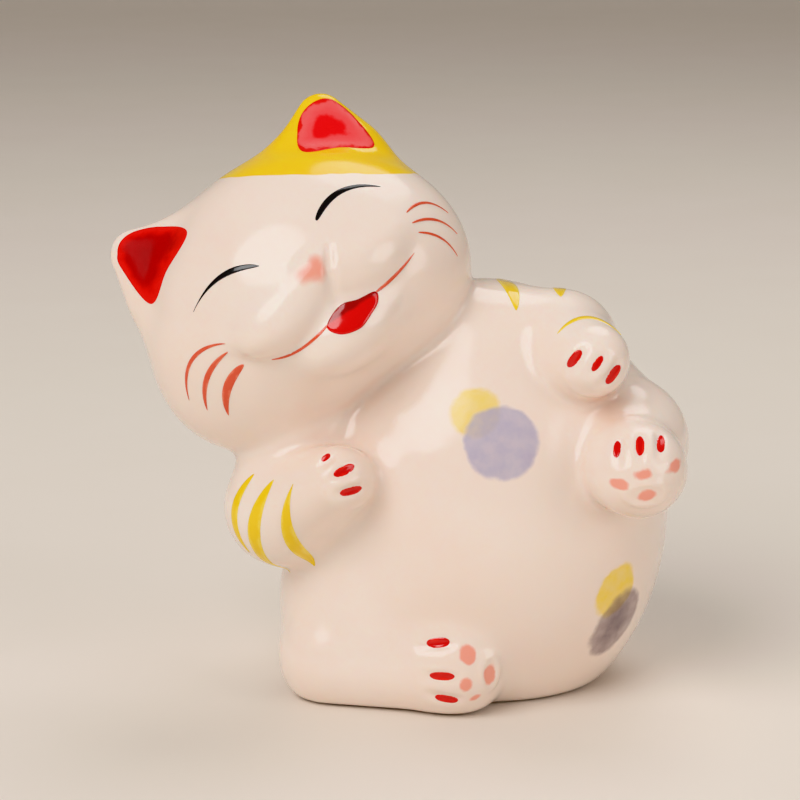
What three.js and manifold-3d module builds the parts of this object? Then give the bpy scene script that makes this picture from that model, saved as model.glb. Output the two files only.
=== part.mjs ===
// A laughing cat figurine in slip-cast, glazed earthenware. The cat lies back on its right side with its belly
// to the front. Its castings are made apart and luted together with slip before firing: a hollow torso and a
// hollow head, joined at the neck by a vent, and solid ears, arms, hind legs, feet and tail.
//
// Millimetres. +X is to the viewer's right, +Y points from the belly to the back, and +Z is up. The origin is the
// middle of the bounding box, on the plane that the figurine stands on. Left and right are the cat's own.

import * as THREE from "three";
import { mergeVertices } from "three/addons/utils/BufferGeometryUtils.js";
import Module from "manifold-3d";

const wasm = await Module();
wasm.setup();

// Driving dimensions
const WALL = 3.6; // cast wall of the torso and the head
const BASE_FLOOR = 4.5; // thickness of the torso's flat base
const LUTE_GAP = 0.3; // room for the slip between two castings
const DRAIN_RADIUS = 5; // hole in the base that lets the slip and the kiln's air out
const VENT_RADIUS = 9; // hole from the head's hollow to the torso's
const NECK_FROM_TORSO = new THREE.Vector3(7, 0, 10); // the vent aims at this point, from the torso's middle

// The torso is an egg cut flat at the base.
const TORSO = { centre: [13.9, 2, 30], radii: [31.9, 28, 39.4] };

// The head leans to the cat's right, and tips back a little. Its forms are placed in the head's own axes.
const HEAD_CENTRE = new THREE.Vector3(-17.5, -3, 68.2);
const HEAD_LEAN = -36;
const HEAD_TIP = -4;
const SKULL = { centre: [0.5, 0, 0.6], radii: [27, 23.5, 21] };
const CROWN = { centre: [0.5, 1, 8], radii: [19, 16, 13.8] };
const CHEEK = { centre: [14.3, -2, -5.5], radii: [13.5, 14, 13] };

// The face is turned on the head, towards the cat's left and up.
const FACE_TIP = -18;
const FACE_TURN = 18;
const PUFF = { centre: [6.8, -18.2, -5.6], radii: [9.4, 6.6, 5.2] };
const NOSE = { centre: [0, -23.8, -2.6], radii: [2.6, 2, 2.2] };
const CHIN = { centre: [0, -17, -13.5], radii: [8, 5.5, 4.6] };

// An ear is a tapered limb, flattened from front to back, with a hollow in its front.
const EAR_MIDDLE = [1, 1, 13]; // halfway between the feet of the two ears
const EAR_APART = [15, 2.5]; // from there to the left ear's foot, sideways and back
const EAR_TURN = 10;
const EAR_LEAN = 26;
const EAR_LENGTH = 9.2;
const EAR_RADII = [11.4, 4.2];
const EAR_FLATNESS = 0.65;
const EAR_HOLLOW = { centre: [0, -6.6, 5.2], radii: [5.8, 4.4, 6.6] };

// Limbs run from ball to ball: [x, y, z, radius].
const RIGHT_ARM = [[-17, -8, 45, 9], [-19.8, -10, 33, 9.6], [-10.5, -23, 41, 5.6]];
const LEFT_ARM = [[14, -4, 59.8, 9.5], [26.8, -6, 59.8, 9], [31, -20, 60.4, 6.1]];
const RIGHT_SHIN = [[-11.2, -10.5, 7, 9.7], [4, -15.5, 7, 8.6]];
const RIGHT_HAUNCH = { centre: [-2, -2, 15], radii: [19, 18, 15.5] };
const LEFT_LEG = [[30, 0, 42.5, 14], [37, -10, 44.2, 11]];
const RIGHT_FOOT = { centre: [8.9, -18.5, 8.1], radii: [8.6, 8, 9] };
const LEFT_FOOT = { centre: [38.3, -24, 43], radii: [8.1, 8.5, 7.9] };
const TAIL = [[33, 22.5, 8, 6.2], [14, 29, 7.6, 5.6], [-5, 23.5, 12, 4.2]];

// Facets round and along a form, by how much of the figurine it makes up
const FINE = [30, 20];
const MEDIUM = [20, 13];
const COARSE = [16, 10];

const radians = THREE.MathUtils.degToRad;

/** A closed BufferGeometry as a manifold solid, with only its positions kept. */
function solidOf(geometry) {
  geometry.deleteAttribute("normal");
  geometry.deleteAttribute("uv");
  const merged = mergeVertices(geometry, 1e-4);
  return new wasm.Manifold(
    new wasm.Mesh({
      numProp: 3,
      vertProperties: merged.attributes.position.array,
      triVerts: new Uint32Array(merged.index.array),
    }),
  );
}

const joined = (solids) => solids.reduce((whole, solid) => whole.add(solid));

/** An ellipsoid, grown all round by grow, in the frame given. */
function ellipsoid({ centre, radii }, grow, facets, frame = new THREE.Matrix4()) {
  const geometry = new THREE.SphereGeometry(1, ...facets);
  geometry.scale(...radii.map((radius) => radius + grow));
  geometry.translate(...centre);
  return solidOf(geometry.applyMatrix4(frame));
}

/** The same ellipsoid on the left, and mirrored on the right. */
function pair({ centre, radii }, grow, facets, frame) {
  const [x, y, z] = centre;
  return [x, -x].map((side) => ellipsoid({ centre: [side, y, z], radii }, grow, facets, frame));
}

/** Two balls on the Z axis, height apart, with the cone that touches both between them. */
function taperedLimb(lowRadius, highRadius, height, [around, along]) {
  const tangent = Math.acos((lowRadius - highRadius) / height);
  const profile = [];
  const arc = (radius, middle, from, to) => {
    const steps = Math.max(3, Math.round((along * Math.abs(to - from)) / Math.PI));
    for (let i = 0; i <= steps; i++) {
      const angle = from + ((to - from) * i) / steps;
      const onAxis = angle === Math.PI || angle === 0;
      profile.push(new THREE.Vector2(onAxis ? 0 : radius * Math.sin(angle), middle + radius * Math.cos(angle)));
    }
  };
  arc(lowRadius, 0, Math.PI, tangent);
  arc(highRadius, height, tangent, 0);
  return new THREE.LatheGeometry(profile, around).rotateX(Math.PI / 2);
}

/** A chain of tapered limbs through the balls given, grown all round by grow. */
function limb(balls, grow, facets) {
  const up = new THREE.Vector3(0, 0, 1);
  const pieces = balls.slice(1).map(([x, y, z, radius], i) => {
    const [fromX, fromY, fromZ, fromRadius] = balls[i];
    const start = new THREE.Vector3(fromX, fromY, fromZ);
    const way = new THREE.Vector3(x, y, z).sub(start);
    const geometry = taperedLimb(fromRadius + grow, radius + grow, way.length(), facets);
    geometry.applyQuaternion(new THREE.Quaternion().setFromUnitVectors(up, way.clone().normalize()));
    return solidOf(geometry.translate(fromX, fromY, fromZ));
  });
  return joined(pieces);
}

/** A frame at a point of the row, leaning about Y, then tipping about X, then turning about Z. */
function frameAt(position, lean, tip, turn = 0) {
  const angles = new THREE.Euler(radians(tip), radians(lean), radians(turn), "YXZ");
  const rotation = new THREE.Quaternion().setFromEuler(angles);
  return new THREE.Matrix4().compose(position, rotation, new THREE.Vector3(1, 1, 1));
}

const headFrame = frameAt(HEAD_CENTRE, HEAD_LEAN, HEAD_TIP);
const faceFrame = frameAt(HEAD_CENTRE, HEAD_LEAN, FACE_TIP, FACE_TURN);

/** Everything above a height. */
function above(height) {
  const side = 300;
  return solidOf(new THREE.BoxGeometry(side, side, side).translate(0, 0, height + side / 2));
}

const standing = (solid) => solid.intersect(above(0));

function torsoForm(grow = 0) {
  return ellipsoid(TORSO, grow, FINE);
}

function headForm(grow = 0) {
  return joined([
    ellipsoid(SKULL, grow, FINE, headFrame),
    ellipsoid(CROWN, grow, MEDIUM, headFrame),
    ...pair(CHEEK, grow, MEDIUM, headFrame),
    ...pair(PUFF, grow, COARSE, faceFrame),
    ellipsoid(NOSE, grow, [12, 8], faceFrame),
    ellipsoid(CHIN, grow, COARSE, faceFrame),
  ]);
}

/** A round hole along a way through a point. */
function hole(radius, length, middle, way) {
  const geometry = new THREE.CylinderGeometry(radius, radius, length, 24);
  const alongY = new THREE.Vector3(0, 1, 0);
  geometry.applyQuaternion(new THREE.Quaternion().setFromUnitVectors(alongY, way.clone().normalize()));
  return solidOf(geometry.translate(middle.x, middle.y, middle.z));
}

/** The torso: a hollow egg on a flat base with a drain hole, open where the head is seated. */
function torsoShell() {
  const [x, y] = TORSO.centre;
  const hollow = ellipsoid(TORSO, -WALL, MEDIUM).intersect(above(BASE_FLOOR));
  const drain = hole(DRAIN_RADIUS, 4 * BASE_FLOOR, new THREE.Vector3(x, y, 0), new THREE.Vector3(0, 0, 1));
  return standing(torsoForm()).subtract(hollow).subtract(headForm(LUTE_GAP)).subtract(drain);
}

/** The head: a hollow skull and cheeks, with a vent into the torso's hollow. */
function headShell() {
  const way = new THREE.Vector3(...TORSO.centre).add(NECK_FROM_TORSO).sub(HEAD_CENTRE).normalize();
  const reach = SKULL.radii[0];
  const vent = hole(VENT_RADIUS, reach, HEAD_CENTRE.clone().addScaledVector(way, reach / 2 + 4), way);
  const hollow = joined([ellipsoid(SKULL, -WALL, COARSE, headFrame), ...pair(CHEEK, -WALL, COARSE, headFrame)]);
  return headForm().subtract(hollow).subtract(vent);
}

/** One ear, side 1 for the cat's left and -1 for its right, seated on the skull. */
function ear(side) {
  const [x, y, z] = EAR_MIDDLE;
  const [sideways, back] = EAR_APART;
  const turn = new THREE.Matrix4().makeRotationZ(radians(EAR_TURN));
  const axes = turn.multiply(new THREE.Matrix4().makeRotationY(radians(side * EAR_LEAN)));
  const frame = headFrame.clone().multiply(axes.setPosition(x + side * sideways, y + side * back, z));
  const [low, high] = EAR_RADII;
  const cone = taperedLimb(low, high, EAR_LENGTH, MEDIUM).scale(1, EAR_FLATNESS, 1).applyMatrix4(frame);
  return solidOf(cone).subtract(ellipsoid(EAR_HOLLOW, 0, COARSE, frame)).subtract(headForm(LUTE_GAP));
}

const rightArmForm = (grow = 0) => limb(RIGHT_ARM, grow, COARSE);
const leftArmForm = (grow = 0) => limb(LEFT_ARM, grow, COARSE);
const leftLegForm = (grow = 0) => limb(LEFT_LEG, grow, MEDIUM);
const rightLegForm = (grow = 0) =>
  limb(RIGHT_SHIN, grow, MEDIUM).add(ellipsoid(RIGHT_HAUNCH, grow, MEDIUM));

/** A casting with room for the slip where it meets each of the forms that it is luted to. */
function seated(solid, ...forms) {
  return standing(forms.reduce((rest, form) => rest.subtract(form(LUTE_GAP)), solid));
}

const castings = {
  torso_shell: torsoShell(),
  head_shell: headShell(),
  right_ear: ear(-1),
  left_ear: ear(1),
  right_arm: seated(rightArmForm(), torsoForm, headForm),
  left_arm: seated(leftArmForm(), torsoForm, headForm),
  right_hind_leg: seated(rightLegForm(), torsoForm, rightArmForm),
  left_hind_leg: seated(leftLegForm(), torsoForm, leftArmForm),
  right_foot: seated(ellipsoid(RIGHT_FOOT, 0, MEDIUM), torsoForm, rightLegForm),
  left_foot: seated(ellipsoid(LEFT_FOOT, 0, MEDIUM), torsoForm, leftLegForm),
  tail: seated(limb(TAIL, 0, COARSE), torsoForm),
};

/** A manifold solid as a BufferGeometry, without any loose sliver that a cut has left beside it. */
function geometryOf(solid) {
  const whole = solid.decompose().reduce((best, body) => (body.volume() > best.volume() ? body : best));
  const { vertProperties, triVerts } = whole.getMesh();
  const geometry = new THREE.BufferGeometry();
  geometry.setAttribute("position", new THREE.BufferAttribute(vertProperties, 3));
  geometry.setIndex(new THREE.BufferAttribute(triVerts, 1));
  geometry.computeVertexNormals();
  return geometry;
}

const glaze = (color) => new THREE.MeshStandardMaterial({ color, roughness: 0.15, metalness: 0 });
const WHITE = 0xf1e6dd;
const YELLOW = 0xf2c81e;

/** Adds a casting to a group, in the group's own frame. */
function addTo(group, name, color = WHITE) {
  group.updateWorldMatrix(true, false);
  const mesh = new THREE.Mesh(geometryOf(castings[name]), glaze(color));
  mesh.geometry.applyMatrix4(group.matrixWorld.clone().invert());
  mesh.name = name;
  group.add(mesh);
}

const figurine = new THREE.Group();

const body = new THREE.Group();
body.position.set(...TORSO.centre);
figurine.add(body);
const onBody = Object.keys(castings).filter((name) => !/head|ear/.test(name));
onBody.forEach((name) => addTo(body, name));

const head = new THREE.Group();
head.applyMatrix4(headFrame);
figurine.add(head);
addTo(head, "head_shell");
addTo(head, "right_ear");
addTo(head, "left_ear", YELLOW);

// The row's origin is under the middle of the bounding box.
const middle = new THREE.Box3().setFromObject(figurine, true).getCenter(new THREE.Vector3());
figurine.position.set(-middle.x, -middle.y, 0);

export default figurine;
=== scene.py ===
"""Looks of the laughing cat figurine: one smooth glazed skin over its luted castings, and its painted enamel.

The skin is a smooth union of ellipsoids and tapered limbs, each placed from the middle of a casting's box.
The enamel is thin solids of its own, painted on the skin from an easel: a plane in front of one part of the
figurine. All lengths up to the making of the meshes are in millimetres, in the row frame. Left and right are
the cat's own.
"""

import itertools
import math

import bpy
import numpy as np
from mathutils import Matrix, Vector


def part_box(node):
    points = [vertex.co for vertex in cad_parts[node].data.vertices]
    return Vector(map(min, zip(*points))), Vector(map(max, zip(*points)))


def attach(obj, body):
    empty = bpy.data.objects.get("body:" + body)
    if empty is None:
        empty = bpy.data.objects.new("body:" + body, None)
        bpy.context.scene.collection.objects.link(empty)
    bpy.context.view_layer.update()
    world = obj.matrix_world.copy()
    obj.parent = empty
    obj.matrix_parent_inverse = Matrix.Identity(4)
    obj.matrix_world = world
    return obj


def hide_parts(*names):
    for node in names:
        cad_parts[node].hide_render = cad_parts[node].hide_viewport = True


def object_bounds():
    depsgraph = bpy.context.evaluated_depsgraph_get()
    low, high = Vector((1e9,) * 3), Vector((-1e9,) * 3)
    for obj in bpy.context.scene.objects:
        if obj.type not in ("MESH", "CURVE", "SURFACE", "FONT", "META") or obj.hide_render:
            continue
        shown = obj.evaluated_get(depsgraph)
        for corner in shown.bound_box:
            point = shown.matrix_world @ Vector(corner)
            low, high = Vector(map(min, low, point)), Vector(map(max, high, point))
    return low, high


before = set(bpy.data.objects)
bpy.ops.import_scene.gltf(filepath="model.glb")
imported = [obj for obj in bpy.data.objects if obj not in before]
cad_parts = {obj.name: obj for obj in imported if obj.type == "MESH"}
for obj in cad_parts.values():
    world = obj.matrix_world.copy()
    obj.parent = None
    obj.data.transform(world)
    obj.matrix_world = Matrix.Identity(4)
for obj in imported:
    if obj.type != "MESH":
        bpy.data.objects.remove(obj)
cad_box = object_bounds()

MM = 0.001
SKIN_STEP = 0.72  # distance between the skin's vertices


# ---------------------------------------------------------------- forms, as distances from their surfaces


def turned(lean=0, tip=0, turn=0):
    """Axes, as columns, leaning about Y, then tipping about X, then turning about Z."""
    about = zip((lean, tip, turn), "YXZ")
    about_y, about_x, about_z = [np.array(Matrix.Rotation(math.radians(a), 3, axis)) for a, axis in about]
    return about_y @ about_x @ about_z


MIDDLES = {node: np.array(sum(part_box(node), Vector())) / 2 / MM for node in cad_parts}


def spot(node, x=0, y=0, z=0):
    """A point measured from the middle of a casting's box."""
    return MIDDLES[node] + (x, y, z)


def ball(points, centre, radii, axes=None):
    """An ellipsoid."""
    q = points - centre
    if axes is not None:
        q = q @ axes
    radii = np.array(radii, float)
    inner = np.linalg.norm(q / radii, axis=1)
    slope = np.linalg.norm(q / radii**2, axis=1)
    return inner * (inner - 1) / np.maximum(slope, 1e-9)


def limb(points, start, end, start_radius, end_radius):
    """Two balls and the cone that touches both."""
    start, way = np.array(start, float), np.array(end, float) - start
    length = np.linalg.norm(way)
    slope = (start_radius - end_radius) / length
    q = points - start
    along = q @ way / length
    out = np.sqrt(np.maximum((q * q).sum(1) - along**2, 0))
    side = out * math.sqrt(1 - slope**2) + along * slope - start_radius
    lean = out * slope / math.sqrt(1 - slope**2)
    by_start = np.hypot(out, along) - start_radius
    by_end = np.hypot(out, along - length) - end_radius
    return np.where(along < lean, by_start, np.where(along > lean + length, by_end, side))


def blend(a, b, reach):
    """The union of two forms, with a fillet that starts where they are less than reach apart."""
    h = np.maximum(reach - np.abs(a - b), 0) / reach
    return np.minimum(a, b) - h**3 * reach / 6


def ramp(values, start, end):
    """0 before start, 1 after end, and smooth between them."""
    t = np.clip((values - start) / (end - start), 0, 1)
    return t * t * (3 - 2 * t)


def carve(a, b, reach):
    """Form a without form b, with a rounded edge."""
    return -blend(-a, b, reach)


# ---------------------------------------------------------------- the sculpture

HEAD = spot("head_shell", -1.5, 1.7, 0.9)
HEAD_AXES = turned(lean=-36, tip=-4)
FACE_AXES = turned(lean=-36, tip=-18, turn=18)
EAR_AXES = {side: HEAD_AXES @ turned(turn=10) @ turned(lean=side * 26) for side in (-1, 1)}
EAR_FLATNESS = 0.62

RIGHT_ELBOW = spot("right_arm", -2.7, 3.8, -3.9)
RIGHT_WRIST = spot("right_arm", 6.6, -9.2, 4.1)
LEFT_ELBOW = spot("left_arm", 3.9, 6.5, -1.4)
LEFT_WRIST = spot("left_arm", 8.1, -7.5, -0.8)
RIGHT_FOOT = spot("right_foot", -0.9, 2.7, 0.6)
LEFT_FOOT = spot("left_foot", 0, 1.4, 0)
DRAIN = spot("torso_shell")
DRAIN_RADIUS, DRAIN_DEPTH = 5, 9


def in_head(x, y, z):
    return HEAD + HEAD_AXES @ (x, y, z)


def in_face(x, y, z):
    return HEAD + FACE_AXES @ (x, y, z)


EAR_ROOT = {side: in_head(1 + side * 15, 1 + side * 2.5, 13) for side in (-1, 1)}


def skull(p):
    d = ball(p, in_head(0.5, 0, 0.6), (27, 23.5, 21), HEAD_AXES)
    d = blend(d, ball(p, in_head(0.5, 1, 8), (19, 16, 13.8), HEAD_AXES), 9)
    for side in (-1, 1):
        cheek = in_head(0.3 + side * 14.2, -2, -5.5)
        d = blend(d, ball(p, cheek, (13.5, 14, 13), HEAD_AXES), 12)
    return d


def muzzle(p, d):
    """The lower lip, two puffs that flow into the cheeks and leave a crease over the lip, and the nose."""
    d = blend(d, ball(p, in_face(0, -17, -13.5), (8, 5.5, 4.6), FACE_AXES), 7.5)
    height = ((p - HEAD) @ FACE_AXES)[:, 2]
    puffs = [
        ball(p, in_face(side * 6.8, -18.2, -5.6), (9.4, 6.6, 5.2), FACE_AXES @ turned(lean=4 * side))
        for side in (-1, 1)
    ]
    crease_to_cheek = 1.6 + 5.4 * ramp(height, -9, -3)
    d = blend(d, blend(*puffs, 1.6), crease_to_cheek)
    return blend(d, ball(p, in_face(0, -23.6, -2.8), (2.8, 1.8, 2.3), FACE_AXES), 4.5)


def philtrum(p, d):
    """The groove from the nose down to the mouth."""
    nose, middle, mouth = in_face(3.9, -25.2, -1.0), in_face(1.8, -25.8, -4.6), in_face(0.1, -23.6, -9.0)
    groove = np.minimum(limb(p, nose, middle, 0.6, 0.8), limb(p, middle, mouth, 0.8, 0.9))
    return carve(d, groove, 1.4)


def ear(p, side):
    q = (p - EAR_ROOT[side]) @ EAR_AXES[side]
    rounded = limb(q * (1, 1 / EAR_FLATNESS, 1), (0, 0, 0), (0, 0, 9.2), 10.4, 4.2) * EAR_FLATNESS**0.5
    return carve(rounded, ball(q, (0.6, -8.6, 6.2), (6.6, 4.4, 6.2)), 3)


def head(p):
    d = philtrum(p, muzzle(p, skull(p)))
    for side in (-1, 1):
        d = blend(d, ear(p, side), 6)
    return d


def arms(p, d):
    shoulder = spot("right_arm", 0.1, 5.8, 8.1)
    right = blend(limb(p, shoulder, RIGHT_ELBOW, 9, 9.6), limb(p, RIGHT_ELBOW, RIGHT_WRIST, 9.6, 5.6), 3)
    shoulder = spot("left_arm", -8.9, 8.5, -1.4)
    left = blend(limb(p, shoulder, LEFT_ELBOW, 9.5, 9), limb(p, LEFT_ELBOW, LEFT_WRIST, 9, 6.1), 3)
    return blend(blend(d, right, 9), left, 6)


def legs(p, d):
    d = blend(d, ball(p, spot("right_hind_leg", 2.8, 3.6, 2.9), (19, 18, 15.5)), 7.5)
    knee, ankle = spot("right_hind_leg", -6.4, -4.9, -5.1), spot("right_hind_leg", 8.8, -9.9, -5.1)
    d = blend(d, limb(p, knee, ankle, 9.7, 8.6), 6)
    d = blend(d, ball(p, RIGHT_FOOT, (8.6, 8, 9)), 4.5)
    hip, heel = spot("left_hind_leg", -9.4, 8.4, -2.5), spot("left_hind_leg", -2.4, -1.6, -0.8)
    d = blend(d, limb(p, hip, heel, 14, 11), 7.5)
    return blend(d, ball(p, LEFT_FOOT, (8.1, 8.5, 7.9)), 7)


def tail(p, d):
    joints = [(18, -3.1, -1, 6.2), (-1, 3.4, -1.4, 5.6), (-20, -2.1, 3, 4.2)]
    places = [(spot("tail", *joint[:3]), joint[3]) for joint in joints]
    parts = [limb(p, a, b, ra, rb) for (a, ra), (b, rb) in zip(places, places[1:])]
    return blend(d, blend(*parts, 4), 3.5)


def bulk(p):
    """The whole figurine, before its underside is cut and its paws are given their relief."""
    d = ball(p, spot("torso_shell", 0, 0, -4.6), (31.9, 28, 39.4))
    d = tail(p, legs(p, arms(p, d)))
    return blend(d, head(p), 4.5)


def underside(p, d):
    """Cut flat to stand on, with the drain hole as a pocket."""
    d = carve(d, p[:, 2], 2.4)
    hole = np.maximum(np.hypot(*(p[:, :2] - DRAIN[:2]).T) - DRAIN_RADIUS, p[:, 2] - DRAIN_DEPTH)
    return carve(d, hole, 1.2)


def smooth(p):
    """The figurine without the fine relief on its paws."""
    return underside(p, bulk(p))


def field(p):
    """How far each point lies outside the finished skin, with the fine relief on the paws."""
    d = smooth(p)
    for easel, grooves, rings in RELIEF:
        near = np.linalg.norm(p - easel.origin, axis=1) < PAW
        close = d[near]
        for start, end in grooves:
            close = carve(close, limb(p[near], start, end, GROOVE_RADIUS, GROOVE_RADIUS), 1.4)
        for centre, axes, radii in rings:
            x, y, z = ((p[near] - centre) @ axes).T
            off = (np.hypot(x / radii[0], z / radii[1]) - 1) * min(radii)
            close = close - RING_HEIGHT * np.exp(-((off / RING_WIDTH) ** 2)) * ramp(-y, -4, 0)
        d[near] = close
    return d


# ---------------------------------------------------------------- from the distances to a mesh


def slope_of(p):
    """The outward unit normal of the field at each point."""
    reach = 0.02
    steps = [np.eye(3)[i] * reach for i in range(3)]
    rise = np.stack([field(p + step) - field(p - step) for step in steps], 1)
    return rise / np.maximum(np.linalg.norm(rise, axis=1, keepdims=True), 1e-12)


def settle(p, rounds=3):
    """The points, slid along the normals onto the surface."""
    for _ in range(rounds):
        p = p - slope_of(p) * np.clip(field(p), -0.5, 0.5)[:, None]
    return p


def skin_mesh(low, high, step):
    """Surface nets: a vertex in each grid cell that the surface crosses, and a quad for each edge it cuts."""
    axes = [np.arange(a - 2 * step, b + 2 * step, step) for a, b in zip(low, high)]
    shape = tuple(len(axis) for axis in axes)
    values = np.empty(shape)
    plane = np.stack(np.meshgrid(axes[1], axes[2], indexing="ij"), -1).reshape(-1, 2)
    for i, x in enumerate(axes[0]):
        points = np.column_stack([np.full(len(plane), x), plane])
        values[i] = field(points).reshape(shape[1:])
    inside = values < 0
    corners = [
        inside[tuple(slice(c, size - 1 + c) for c, size in zip(corner, shape))]
        for corner in itertools.product((0, 1), repeat=3)
    ]
    count = np.sum(corners, axis=0)
    crossed = (count > 0) & (count < 8)
    index = np.full(crossed.shape, -1)
    index[crossed] = np.arange(crossed.sum())
    points = np.array([axis[0] for axis in axes]) + (np.argwhere(crossed) + 0.5) * step
    quads = []
    for axis in range(3):
        u, v = (axis + 1) % 3, (axis + 2) % 3
        edge = np.diff(inside.astype(np.int8), axis=axis)
        for sign in (1, -1):
            at = np.argwhere(edge == sign)
            ring_of_cells = []
            for du, dv in ((0, 0), (-1, 0), (-1, -1), (0, -1))[::-sign]:
                cell = at.copy()
                cell[:, u] += du
                cell[:, v] += dv
                ring_of_cells.append(index[tuple(cell.T)])
            quads.append(np.stack(ring_of_cells, 1))
    return points, np.concatenate(quads)


def relaxed(points, quads, rounds):
    """Evens out the quads: each vertex moves to the middle of its neighbours and back onto the surface."""
    ends = np.concatenate([quads[:, [i, (i + 1) % 4]] for i in range(4)])
    number = np.bincount(ends[:, 0], minlength=len(points))[:, None]
    for _ in range(rounds):
        total = np.stack([np.bincount(ends[:, 0], points[ends[:, 1], i], len(points)) for i in range(3)], 1)
        points = settle(0.5 * points + 0.5 * total / number, 1)
    return settle(points, 2)


# ---------------------------------------------------------------- easels


class Easel:
    """A painter's view of one part: marks are X and Z on the easel, and fall on the skin along its Y."""

    def __init__(self, origin, axes, distance=45):
        self.origin, self.axes, self.distance = np.array(origin), axes, distance

    def fall(self, marks, surface=field):
        """Where the marks land on a surface."""
        marks = np.asarray(marks, float)
        local = np.column_stack([marks[:, 0], np.full(len(marks), -self.distance), marks[:, 1]])
        p = self.origin + local @ self.axes.T
        for _ in range(60):
            p = p + self.axes[:, 1] * surface(p)[:, None] * 0.9
        if np.abs(surface(p)).max() > 0.02:
            raise ValueError("a mark misses the figurine")
        return p


FACE = Easel(HEAD, FACE_AXES)
RIGHT_CHEEK = Easel(HEAD, turned(lean=-36, tip=-8, turn=-35))
LEFT_CHEEK = Easel(HEAD, turned(lean=-36, tip=-8, turn=58))
RIGHT_EAR = Easel(EAR_ROOT[-1], EAR_AXES[-1])
LEFT_EAR = Easel(EAR_ROOT[1], EAR_AXES[1])
RIGHT_ARM = Easel(RIGHT_ELBOW, turned(turn=-30), 25)
RIGHT_PAW = Easel(RIGHT_WRIST, turned(), 12)
LEFT_ARM = Easel(LEFT_ELBOW, turned(tip=-40), 25)
LEFT_PAW = Easel(LEFT_WRIST, turned(tip=-10), 12)
LEFT_TOES = Easel(LEFT_FOOT, turned(tip=-20), 14)
LEFT_SOLE = Easel(LEFT_FOOT, turned(tip=25), 14)
RIGHT_TOES = Easel(RIGHT_FOOT, turned(), 14)
RIGHT_SOLE = Easel(RIGHT_FOOT, turned(turn=40), 14)
BELLY = Easel(spot("torso_shell", 0, 0, -4.6), turned())
FLANK = Easel(spot("torso_shell", 0, 0, -4.6), turned(turn=40))
BACK = Easel(spot("torso_shell", 0, 0, -4.6), turned(turn=165))

PAW = 14  # how far a paw's relief reaches from its middle
GROOVE_RADIUS = 0.9
GROOVE_RISE = 0.7  # how far outside the skin the middle line of a groove runs
RING_HEIGHT, RING_WIDTH = 0.3, 0.6

# The claws of each paw: where each one starts and ends on the easel, and how wide it is
CLAWS = {
    "right_paw": (
        RIGHT_PAW,
        [(-2.5, 3.9, -1.1, 4.8, 1.0), (-0.5, 2.0, 2.8, 3.2, 1.7), (0.5, -1.0, 4.0, -0.4, 1.6)],
    ),
    "left_paw": (
        LEFT_PAW,
        [(-4.2, -1.0, -2.2, 1.7, 1.7), (-0.4, -1.6, 1.2, 0.8, 1.4), (2.0, -3.7, 4.1, -0.7, 1.7)],
    ),
    "left_foot": (
        LEFT_TOES,
        [(-4.0, 1.2, -3.6, 4.0, 1.4), (-0.3, 1.4, -0.1, 4.7, 1.7), (3.1, 2.0, 3.4, 5.0, 1.6)],
    ),
    "right_foot": (
        RIGHT_TOES,
        [(-4.8, 5.2, -1.0, 5.8, 1.9), (-4.3, 0.2, -0.2, 0.3, 1.7), (-3.4, -3.6, 0.4, -4.2, 1.6)],
    ),
}


def relief():
    """The grooves that the claws lie in, and a raised ring round the main pad of each foot."""
    rings = {
        "left_foot": (LEFT_SOLE, (0.7, 1.3), (3.4, 2.1)),
        "right_foot": (RIGHT_SOLE, (0.5, 0.3), (1.8, 2.8)),
    }
    found = []
    for name, (easel, claws) in CLAWS.items():
        marks = np.array(claws)[:, :4].reshape(-1, 2)
        ends = easel.fall(marks, smooth).reshape(-1, 2, 3) - easel.axes[:, 1] * GROOVE_RISE
        grooves = [(start - 0.3 * (end - start), end) for start, end in ends]
        pads = []
        if name in rings:
            sole, pad, radii = rings[name]
            pads = [(sole.fall([pad], smooth)[0], sole.axes, radii)]
        found.append((easel, grooves, pads))
    return found


RELIEF = relief()


# ---------------------------------------------------------------- pieces

SINK = 0.12  # how far below the skin the edge of the enamel lies
PROUD = 0.09  # how far above the skin its middle stands
BURIED = 0.35  # how far below the skin its hidden side lies


def piece(name, points, faces, material, edge=None):
    """A mesh that rides on the figurine. points are in mm, and edge is 0 in its middle and 1 at its rim."""
    mesh = bpy.data.meshes.new(name)
    mesh.from_pydata((points * MM).tolist(), [], [list(face) for face in faces])
    mesh.validate()
    mesh.polygons.foreach_set("use_smooth", [True] * len(mesh.polygons))
    if edge is not None:
        mesh.attributes.new("edge", "FLOAT", "POINT").data.foreach_set("value", np.asarray(edge, np.float32))
    mesh.materials.append(material)
    made = bpy.data.objects.new(name, mesh)
    bpy.context.scene.collection.objects.link(made)
    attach(made, "root")
    return made


def lens(edge, proud, fullness):
    """Height of the enamel over the skin, from its middle to its rim."""
    return proud - (proud + SINK) * edge**fullness


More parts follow.
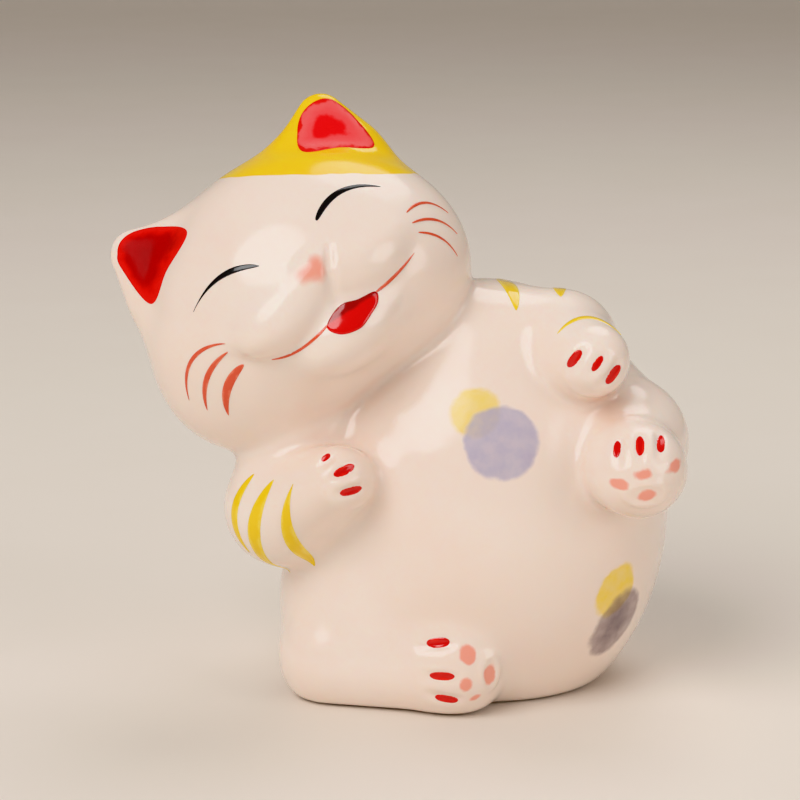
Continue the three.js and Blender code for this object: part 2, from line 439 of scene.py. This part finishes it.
def stroke(name, easel, start, end, bow, width, paint, heavy=0.5, blunt=False):
    """One brush stroke along an arc. bow is how far the arc bulges to the left of its way, and heavy is the
    place along it, from 0 to 1, where the brush is pressed hardest. A blunt stroke keeps its width."""
    start, end = np.array(start, float), np.array(end, float)
    chord = end - start
    left = np.array([-chord[1], chord[0]]) / np.linalg.norm(chord)
    middle = (start + end) / 2 + 2 * bow * left
    count = max(9, int(np.linalg.norm(chord) / 0.3))
    t = (0.5 - 0.5 * np.cos(np.linspace(0, math.pi, count)))[:, None]
    line = (1 - t) ** 2 * start + 2 * t * (1 - t) * middle + t**2 * end
    way = np.gradient(line, axis=0)
    across = np.column_stack([-way[:, 1], way[:, 0]]) / np.linalg.norm(way, axis=1, keepdims=True)
    pressed = t[:, 0] ** (math.log(0.5) / math.log(heavy))
    swell = (1 - np.abs(2 * pressed - 1) ** 3) ** 0.5 if blunt else np.sin(math.pi * pressed) ** 0.6
    half = width / 2 * np.maximum(swell, 0.05)
    sides = np.linspace(-1, 1, 9)
    marks = line[:, None] + across[:, None] * (half[:, None] * sides)[..., None]
    skin = easel.fall(marks.reshape(-1, 2))
    out = slope_of(skin)
    edge = np.tile(np.abs(sides), count)
    top = skin + out * lens(edge, PROUD, 6)[:, None]
    under = skin - out * BURIED
    top, under = top.reshape(count, -1, 3), under.reshape(count, -1, 3)
    loops = np.concatenate([top, under[:, ::-1]], 1)
    around = loops.shape[1]
    index = np.arange(count * around).reshape(count, around)
    faces = [
        (index[i, j], index[i + 1, j], index[i + 1, (j + 1) % around], index[i, (j + 1) % around])
        for i in range(count - 1)
        for j in range(around)
    ]
    faces += [tuple(index[0]), tuple(index[-1, ::-1])]
    edge = edge.reshape(count, -1)
    rim = np.concatenate([edge, np.ones_like(edge)], 1).reshape(-1)
    return paint(name, loops.reshape(-1, 3), faces, rim)


def loop_through(corners, per_side=14):
    """A closed smooth line through the corners."""
    c = np.array(corners, float)
    before, after, next_after = np.roll(c, 1, 0), np.roll(c, -1, 0), np.roll(c, -2, 0)
    t = np.linspace(0, 1, per_side, endpoint=False)[:, None, None]
    line = 0.5 * (
        2 * c
        + (after - before) * t
        + (2 * before - 5 * c + 4 * after - next_after) * t**2
        + (3 * c - before - 3 * after + next_after) * t**3
    )
    return line.transpose(1, 0, 2).reshape(-1, 2)


def patch(name, easel, outline, paint, rings=16, proud=PROUD):
    """An area filled with enamel. Its outline runs anticlockwise, and can be seen whole from its middle."""
    middle = outline.mean(0)
    count = len(outline)
    shares = 1 - (1 - np.linspace(0, 1, rings + 1)[1:]) ** 1.6
    marks = np.concatenate([[middle], *[middle + (outline - middle) * share for share in shares]])
    skin = easel.fall(marks)
    out = slope_of(skin)
    edge = np.concatenate([[0], np.repeat(shares, count)])
    top = skin + out * lens(edge, proud, 24)[:, None]
    under = skin - out * BURIED
    points = np.concatenate([top, under])
    index = 1 + np.arange(rings * count).reshape(rings, count)
    following = np.roll(index, -1, 1)
    upper = [(0, index[0, j], following[0, j]) for j in range(count)]
    upper += [
        (index[i, j], index[i + 1, j], following[i + 1, j], following[i, j])
        for i in range(rings - 1)
        for j in range(count)
    ]
    offset = len(top)
    lower = [tuple(offset + k for k in face[::-1]) for face in upper]
    wall = [(a, offset + a, offset + b, b) for a, b in zip(index[-1], following[-1])]
    return paint(name, points, upper + lower + wall, np.concatenate([edge, np.ones(offset)]))


# ---------------------------------------------------------------- materials


class Shader:
    """A node material in the making. Sizes of patterns are in millimetres."""

    def __init__(self, name, coat, roughness=0.15):
        self.material = bpy.data.materials.new(name)
        self.material.use_nodes = True
        self.tree = self.material.node_tree
        self.surface = self.tree.nodes["Principled BSDF"]
        self.surface.inputs["Roughness"].default_value = roughness
        self.surface.inputs["IOR"].default_value = 1.52
        self.surface.inputs["Coat Weight"].default_value = coat
        self.surface.inputs["Coat Roughness"].default_value = 0.08
        self.place = self.node("TexCoord").outputs["Object"]

    def node(self, kind, inputs=(), **settings):
        made = self.tree.nodes.new("ShaderNode" + kind)
        for key, value in settings.items():
            setattr(made, key, value)
        for key, value in dict(inputs).items():
            self.feed(made.inputs[key], value)
        return made

    def feed(self, socket, value):
        if isinstance(value, bpy.types.NodeSocket):
            self.tree.links.new(value, socket)
        else:
            socket.default_value = value

    def noise(self, size, detail=2.0):
        """Clouds about size across, from 0 to 1."""
        inputs = {"Vector": self.place, "Scale": 1 / (size * MM), "Detail": detail}
        return self.node("TexNoise", inputs).outputs["Fac"]

    def maths(self, operation, a, b):
        return self.node("Math", {0: a, 1: b}, operation=operation).outputs[0]

    def stretch(self, value, low, high, to_low=0.0, to_high=1.0):
        """Maps low to high onto to_low to to_high, smoothly and with no overshoot."""
        inputs = {"Value": value, "From Min": low, "From Max": high, "To Min": to_low, "To Max": to_high}
        return self.node("MapRange", inputs, interpolation_type="SMOOTHSTEP").outputs[0]

    def mix(self, share, a, b):
        made = self.node("Mix", {0: share, 6: a, 7: b}, data_type="RGBA")
        return made.outputs[2]

    def attribute(self, name):
        return self.node("Attribute", attribute_name=name, attribute_type="GEOMETRY").outputs["Fac"]

    def vector(self, operation, a, b=(0, 0, 0)):
        return self.node("VectorMath", {0: a, 1: tuple(b)}, operation=operation).outputs

    def near(self, area, softness, wobble):
        """1 inside a round or oval area, and 0 outside, with a soft and uneven edge."""
        centre, radius, lengthened = area
        away = self.vector("SUBTRACT", self.place, centre * MM)[0]
        out = self.vector("LENGTH", away)["Value"]
        along = self.vector("DOT_PRODUCT", away, lengthened)["Value"]
        squared = self.maths("SUBTRACT", self.maths("POWER", out, 2), self.maths("POWER", along, 2))
        uneven = self.maths("ADD", self.maths("POWER", squared, 0.5), wobble)
        return self.stretch(uneven, (radius - softness / 2) * MM, (radius + softness / 2) * MM, 1.0, 0.0)

    def brushed(self):
        """The uneven gloss of a painted colour."""
        return self.stretch(self.noise(1.5, 2), 0.3, 0.7, 0.07, 0.18)

    def bump(self, height, depth):
        """Relief of the given depth in millimetres."""
        made = self.node("Bump", {"Strength": 1.0, "Distance": depth * MM, "Height": height})
        self.feed(self.surface.inputs["Normal"], made.outputs["Normal"])


def linear(red, green, blue):
    """A colour as light, from its 0 to 255 values on a screen."""
    return tuple((c / 255) ** 2.2 for c in (red, green, blue)) + (1.0,)


WHITE = linear(251, 236, 226)
CREAM = linear(246, 222, 206)
# Glaze pooled in creases, with painted shade there: deeper and warmer where the skin is hollow
POOLED_GLAZE_AND_SHADE = linear(226, 178, 150)
YELLOW = linear(255, 214, 0)
DEEP_YELLOW = linear(252, 202, 0)
THIN_YELLOW = linear(250, 216, 50)
BLUSH = linear(253, 170, 150)
LAVENDER = linear(184, 176, 198)
SLATE = linear(124, 100, 106)
DARK_SLATE = linear(104, 84, 92)
BISQUE = linear(222, 206, 188)
DARK_BISQUE = linear(198, 176, 154)


def glaze(spots, cap, blush_areas):
    """The white glaze, the soft colours washed under it, and the bare clay that the figurine stands on."""
    shader = Shader("white_glaze", 0.25)
    shader.surface.inputs["Subsurface Weight"].default_value = 0.25
    shader.surface.inputs["Subsurface Radius"].default_value = (1.0, 0.55, 0.35)
    shader.surface.inputs["Subsurface Scale"].default_value = 2.5 * MM
    colour = shader.mix(shader.noise(22), WHITE, CREAM)
    # Tints creases and hollows: partly glaze that pools there, partly painted shade.
    pooling_and_shade = shader.stretch(shader.attribute("hollow"), 0.25, 0.95, 0.0, 0.45)
    colour = shader.mix(pooling_and_shade, colour, POOLED_GLAZE_AND_SHADE)
    wobble = shader.stretch(shader.noise(3, 4), 0.3, 0.7, -0.25 * MM, 0.25 * MM)
    mottle = shader.stretch(shader.noise(2.2, 3), 0.25, 0.8, 0.78, 1.0)
    for area, paint, strength, softness in spots:
        share = shader.near(area, softness, wobble)
        share = shader.maths("MULTIPLY", share, shader.maths("MULTIPLY", mottle, strength))
        colour = shader.mix(share, colour, paint)
    crisp = shader.stretch(shader.noise(5, 1), 0.3, 0.7, -0.12 * MM, 0.12 * MM)
    cap_normal, cap_height = cap
    level = shader.node("VectorMath", {0: shader.place, 1: tuple(cap_normal)}, operation="DOT_PRODUCT")
    rise = shader.maths("ADD", level.outputs["Value"], crisp)
    share = shader.stretch(rise, (cap_height - 0.1) * MM, (cap_height + 0.1) * MM)
    colour = shader.mix(share, colour, shader.mix(shader.noise(6), YELLOW, DEEP_YELLOW))
    for area, softness in blush_areas:
        colour = shader.mix(shader.near(area, softness, wobble), colour, BLUSH)
    height = shader.node("SeparateXYZ", {0: shader.place}).outputs["Z"]
    bare = shader.stretch(shader.maths("ADD", height, crisp), 0.15 * MM, 0.45 * MM, 1.0, 0.0)
    grit = shader.noise(0.35, 4)
    clay = shader.mix(grit, BISQUE, DARK_BISQUE)
    shader.feed(shader.surface.inputs["Base Color"], shader.mix(bare, colour, clay))
    glossy = shader.stretch(shader.noise(9, 3), 0.3, 0.75, 0.13, 0.24)
    rough = shader.node("Mix", {0: bare, 2: glossy, 3: 0.8}, data_type="FLOAT").outputs[0]
    shader.feed(shader.surface.inputs["Roughness"], rough)
    ripple = shader.maths("ADD", shader.noise(11, 1), shader.maths("MULTIPLY", shader.noise(2.2, 2), 0.12))
    rough_clay = shader.maths("MULTIPLY", shader.maths("MULTIPLY", grit, bare), 0.5)
    shader.bump(shader.maths("ADD", ripple, rough_clay), 0.16)
    return shader.material


def enamel(name, middle, rim, grain=2.0):
    """Painted colour: fuller where the brush left more of it, in its middle, and thinner towards its rim."""
    shader = Shader(name, 0.6)
    uneven = shader.stretch(shader.noise(grain, 3), 0.3, 0.7, -0.3, 0.3)
    share = shader.stretch(shader.maths("ADD", shader.attribute("edge"), uneven), 0.3, 1.0)
    shader.feed(shader.surface.inputs["Base Color"], shader.mix(share, middle, rim))
    shader.feed(shader.surface.inputs["Roughness"], shader.brushed())
    shader.bump(shader.noise(0.8, 2), 0.02)
    return shader.material


def mouth_enamel(name):
    """Painted shade: deep red under the puffs, where they shade the mouth, and bright red on the tongue
    below.
    """
    shader = Shader(name, 0.5)
    height = shader.node("VectorMath", {0: shader.place, 1: tuple(FACE_AXES[:, 2])}, operation="DOT_PRODUCT")
    # Above this height the mouth is painted deep red, as shade under the puffs.
    line = float(FACE_AXES[:, 2] @ in_face(0, -24, -11.1)) * MM
    uneven = shader.stretch(shader.noise(4, 2), 0.3, 0.7, -0.2 * MM, 0.2 * MM)
    slant = shader.maths("ADD", height.outputs["Value"], uneven)
    share = shader.stretch(slant, line - 0.3 * MM, line + 0.4 * MM)
    shader.feed(shader.surface.inputs["Base Color"], shader.mix(share, linear(222, 8, 6), linear(160, 0, 4)))
    shader.feed(shader.surface.inputs["Roughness"], shader.brushed())
    shader.bump(shader.noise(1.2, 2), 0.02)
    return shader.material


def ear_enamel(name, bands):
    """Ear enamel in bands; a pink band is a painted reflection. bands lists places from middle, 0, to rim, 1.
    """
    shader = Shader(name, 0.0)
    shader.surface.inputs["Specular IOR Level"].default_value = 0.1
    uneven = shader.stretch(shader.noise(3, 3), 0.3, 0.7, -0.08, 0.08)
    ramp_node = shader.node("ValToRGB", {0: shader.maths("ADD", shader.attribute("edge"), uneven)})
    ramp_node.color_ramp.interpolation = "EASE"
    elements = ramp_node.color_ramp.elements
    while len(elements) < len(bands):
        elements.new(1.0)
    for element, (position, colour) in zip(elements, bands):
        element.position, element.color = position, colour
    shader.feed(shader.surface.inputs["Base Color"], ramp_node.outputs["Color"])
    shader.feed(shader.surface.inputs["Roughness"], shader.stretch(shader.noise(2, 2), 0.3, 0.7, 0.18, 0.3))
    shader.bump(shader.noise(1.5, 2), 0.03)
    return shader.material


def brush(material):
    """What strokes and patches are painted with."""
    return lambda name, points, faces, edge: piece(name, points, faces, material, edge)


# ---------------------------------------------------------------- the enamel on the figurine


def paint_face(black, mouth, whisker):
    stroke("left_eye", FACE, (5.0, 4.0), (17.6, 3.8), 2.4, 1.3, black, heavy=0.3)
    stroke("right_eye", FACE, (-18.5, 3.8), (-6.6, 2.9), 2.1, 1.25, black, heavy=0.7)
    lower_lip = [(-3.2, -11.2), (-2.1, -13.6), (1.1, -14.5), (4.0, -13.5), (6.3, -12.2)]
    upper_lip = [(6.8, -10.6), (3.5, -10.2), (0.4, -9.5)]
    patch("tongue", FACE, loop_through(lower_lip + upper_lip), mouth, proud=0.2)
    stroke("right_smile", FACE, (-2.6, -11.0), (-12.7, -10.1), 1.1, 0.6, whisker, heavy=0.35)
    stroke("left_smile", FACE, (6.4, -10.8), (15.8, -8.5), -0.4, 0.6, whisker, heavy=0.35)
    stroke("right_whisker_top", RIGHT_CHEEK, (3.4, 0), (-10.6, -4.0), -3.2, 0.85, whisker)
    stroke("right_whisker_middle", RIGHT_CHEEK, (2.7, -1.3), (-8.7, -7.0), -1.7, 1.2, whisker)
    stroke("right_whisker_low", RIGHT_CHEEK, (3.0, -4.4), (-6.3, -9.7), -1.2, 1.8, whisker, heavy=0.4)
    stroke("left_whisker_top", LEFT_CHEEK, (0.8, 0.2), (10.3, -3.8), 1.7, 0.65, whisker, heavy=0.35)
    stroke("left_whisker_middle", LEFT_CHEEK, (0.2, -1.7), (9.1, -7.4), 1.3, 0.65, whisker, heavy=0.35)
    stroke("left_whisker_low", LEFT_CHEEK, (0.3, -3.5), (6.4, -10.4), 0.9, 0.55, whisker, heavy=0.35)


def paint_ears(left, right):
    left_base = [(-4.7, 4.1), (1.6, 3.7), (7.8, 2.9)]
    left_tip = [(5.7, 8.3), (2.5, 12.0), (-0.3, 12.4), (-3.1, 10.8), (-4.7, 7.8)]
    patch("left_ear_enamel", LEFT_EAR, loop_through(left_base + left_tip), left)
    right_tip = [(7.5, 3.4), (6.2, 7.7), (3.4, 11.2), (0.9, 12.5), (-1.3, 12.1), (-3.3, 10.3)]
    right_base = [(-6.3, 3.1), (0, 3.4)]
    patch("right_ear_enamel", RIGHT_EAR, loop_through(right_tip + right_base), right)


def paint_limbs(yellow, red):
    stroke("right_arm_stripe_outer", RIGHT_ARM, (-0.7, 7.3), (-2.2, -6.5), -2.5, 2.1, yellow)
    stroke("right_arm_stripe_middle", RIGHT_ARM, (4.0, 7.2), (1.0, -11.5), -2.2, 3.0, yellow)
    stroke("right_arm_stripe_inner", RIGHT_ARM, (8.8, 7.5), (7.0, -9.0), -1.2, 2.8, yellow, heavy=0.62)
    stroke("left_arm_stripe_shoulder", LEFT_ARM, (-10.4, 13.0), (-7.9, 2.0), 0.6, 3.0, yellow, heavy=0.35)
    stroke("left_arm_stripe_elbow", LEFT_ARM, (0.4, 13.2), (-0.4, 4.8), -0.3, 3.0, yellow, heavy=0.4)
    stroke("left_arm_stripe_wrist", LEFT_ARM, (-1.5, -4.8), (8.8, -5.0), 2.9, 1.3, yellow)
    for limb_name, (easel, claws) in CLAWS.items():
        for number, (x, z, end_x, end_z, width) in enumerate(claws, 1):
            stroke(f"{limb_name}_claw_{number}", easel, (x, z), (end_x, end_z), 0, width, red, blunt=True)


def round_area(easel, mark, radius):
    """An area of the skin: its middle, its half width, and which way it is lengthened."""
    return easel.fall([mark])[0], radius, np.zeros(3)


def oval_area(easel, start, end, radius):
    """An area that reaches from start to end, and is 2 * radius wide."""
    start, end = easel.fall([start, end])
    half = np.linalg.norm(end - start) / 2
    lengthened = (end - start) / (2 * half) * math.sqrt(max(0.0, 1 - (radius / half) ** 2))
    return (start + end) / 2, radius, lengthened


def washes():
    """Soft spots of colour under the glaze: area, colour, strength and softness of the edge."""
    return [
        (round_area(BELLY, (-1.8, 21.8), 4.1), THIN_YELLOW, 0.75, 1.0),
        (round_area(BELLY, (2.2, 17.3), 6.1), LAVENDER, 0.9, 1.0),
        (oval_area(FLANK, (6.8, -5.6), (2.0, -13.8), 4.0), YELLOW, 0.85, 0.9),
        (oval_area(FLANK, (9.4, -10.6), (3.3, -21.6), 4.9), SLATE, 0.75, 1.2),
        (oval_area(FLANK, (8.0, -12.5), (4.6, -19.5), 2.6), DARK_SLATE, 0.6, 2.6),
        (round_area(BACK, (-6, 8), 6), THIN_YELLOW, 0.95, 0.8),
        (round_area(BACK, (-1, 2.5), 8), LAVENDER, 0.9, 0.7),
    ]


def blushes():
    """The nose and the pads under the feet: area and softness of the edge."""
    left_places = [(-3.4, 2.7), (0.3, 4.6), (5.2, 4.2), (0.7, 1.4)]
    left_pads = [oval_area(LEFT_SOLE, (x - 1.3, z), (x + 1.3, z), 0.85) for x, z in left_places]
    right_pads = [
        oval_area(RIGHT_SOLE, (-3.0, 5.4), (-3.0, 2.4), 1.3),
        oval_area(RIGHT_SOLE, (-3.6, 0.0), (-3.6, -2.3), 1.1),
        oval_area(RIGHT_SOLE, (0.4, 2.0), (0.4, -1.5), 1.2),
        oval_area(RIGHT_SOLE, (-2.2, -4.1), (-1.0, -3.5), 0.4),
    ]
    return [
        (oval_area(FACE, (1.1, -1.5), (-0.6, -4.9), 1.35), 1.6),
        (oval_area(FACE, (0.6, -3.1), (-3.0, -2.7), 1.25), 2.0),
        *[(area, 0.5) for area in left_pads + right_pads],
    ]


def glazed_skin():
    low, high = (np.array(corner) / MM for corner in cad_box)
    points, quads = skin_mesh(low, high, SKIN_STEP)
    points = relaxed(settle(points, 3), quads, 4)
    normals = slope_of(points)
    reach = 3.0
    # How shut in each point is, like ambient occlusion; the glaze uses it for pooled glaze and painted shade.
    hollow = 1 - np.clip(field(points + normals * reach) / reach, 0, 1)
    cap_normal = HEAD_AXES @ (0.56, 0.12, 0.82)
    cap = cap_normal, float(cap_normal @ HEAD) + 19.3
    material = glaze(washes(), cap, blushes())
    skin = piece("glazed_skin", points, quads, material)
    skin.data.attributes.new("hollow", "FLOAT", "POINT").data.foreach_set("value", hollow.astype(np.float32))
    skin.data.normals_split_custom_set_from_vertices(normals.tolist())
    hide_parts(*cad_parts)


def decorate():
    red = enamel("red_enamel", linear(212, 10, 6), linear(236, 34, 18))
    black = enamel("black_enamel", linear(16, 14, 16), linear(40, 34, 38))
    whisker = enamel("whisker_enamel", linear(224, 88, 60), linear(240, 134, 104))
    yellow = enamel("yellow_enamel", linear(244, 204, 24), linear(248, 218, 84), grain=3)
    rim = linear(226, 30, 24)
    # The pink bands in the left ear are a painted reflection on its red enamel.
    reflected_pink, pale_reflected_pink = linear(248, 92, 94), linear(248, 104, 104)
    crimson, scarlet = linear(236, 12, 14), linear(234, 16, 20)
    left = [(0.0, crimson), (0.3, scarlet), (0.5, reflected_pink), (0.82, pale_reflected_pink), (0.93, rim)]
    right = [(0.0, linear(168, 3, 4)), (0.55, linear(178, 4, 6)), (0.9, rim)]
    paint_face(
        brush(black),
        brush(mouth_enamel("mouth_red")),
        brush(whisker),
    )
    paint_ears(
        brush(ear_enamel("left_ear_red", left)),
        brush(ear_enamel("right_ear_red", right)),
    )
    paint_limbs(brush(yellow), brush(red))


# ---------------------------------------------------------------- the studio


def floor():
    side, back_edge, height = 3.0, 1.3, 1.6
    bend = [(back_edge + 0.5 * math.sin(a), 0.5 - 0.5 * math.cos(a)) for a in np.linspace(0, math.pi / 2, 16)]
    profile = [(-side, 0.0), *bend, (back_edge + 0.5, height)]
    points = [(x, y, z) for y, z in profile for x in (-side, side)]
    faces = [(2 * i, 2 * i + 1, 2 * i + 3, 2 * i + 2) for i in range(len(profile) - 1)]
    mesh = bpy.data.meshes.new("floor")
    mesh.from_pydata(points, [], faces)
    mesh.polygons.foreach_set("use_smooth", [True] * len(faces))
    shader = Shader("pale_floor", 0.0, roughness=0.6)
    pale = shader.mix(shader.noise(40, 3), linear(240, 231, 221), linear(237, 227, 216))
    shader.feed(shader.surface.inputs["Base Color"], pale)
    mesh.materials.append(shader.material)
    made = bpy.data.objects.new("floor", mesh)
    bpy.context.scene.collection.objects.link(made)


def softbox(name, place, size, power):
    """A round soft light that faces the figurine."""
    light = bpy.data.lights.new(name, "AREA")
    light.shape, light.size, light.energy = "DISK", size, power
    made = bpy.data.objects.new(name, light)
    made.location = place
    way = Vector(spot("torso_shell") * MM) - Vector(place)
    made.rotation_euler = way.to_track_quat("-Z", "Y").to_euler()
    bpy.context.scene.collection.objects.link(made)


def studio():
    floor()
    softbox("key", (-0.6, -0.75, 0.85), 1.0, 10)
    softbox("fill", (0.8, -0.5, 0.35), 0.6, 1.8)
    softbox("top", (0.2, 0.35, 0.8), 0.6, 2.0)
    world = bpy.data.worlds.new("studio")
    world.use_nodes = True
    world.node_tree.nodes["Background"].inputs["Color"].default_value = linear(252, 246, 240)
    world.node_tree.nodes["Background"].inputs["Strength"].default_value = 0.3
    bpy.context.scene.world = world
    bpy.context.scene.view_settings.view_transform = "Khronos PBR Neutral"


def camera():
    """A long lens, a little above the figurine."""
    rise, distance, field_width = math.radians(13), 0.47, 0.1365
    target = Vector((0.1 * MM, -1.0 * MM, 49 * MM))
    data = bpy.data.cameras.new("camera")
    data.sensor_width = 36
    data.lens = data.sensor_width * distance / field_width
    made = bpy.data.objects.new("camera", data)
    made.location = target + Vector((0, -math.cos(rise), math.sin(rise))) * distance
    made.rotation_euler = (target - made.location).to_track_quat("-Z", "Y").to_euler()
    bpy.context.scene.collection.objects.link(made)
    bpy.context.scene.camera = made


glazed_skin()
decorate()
studio()
camera()
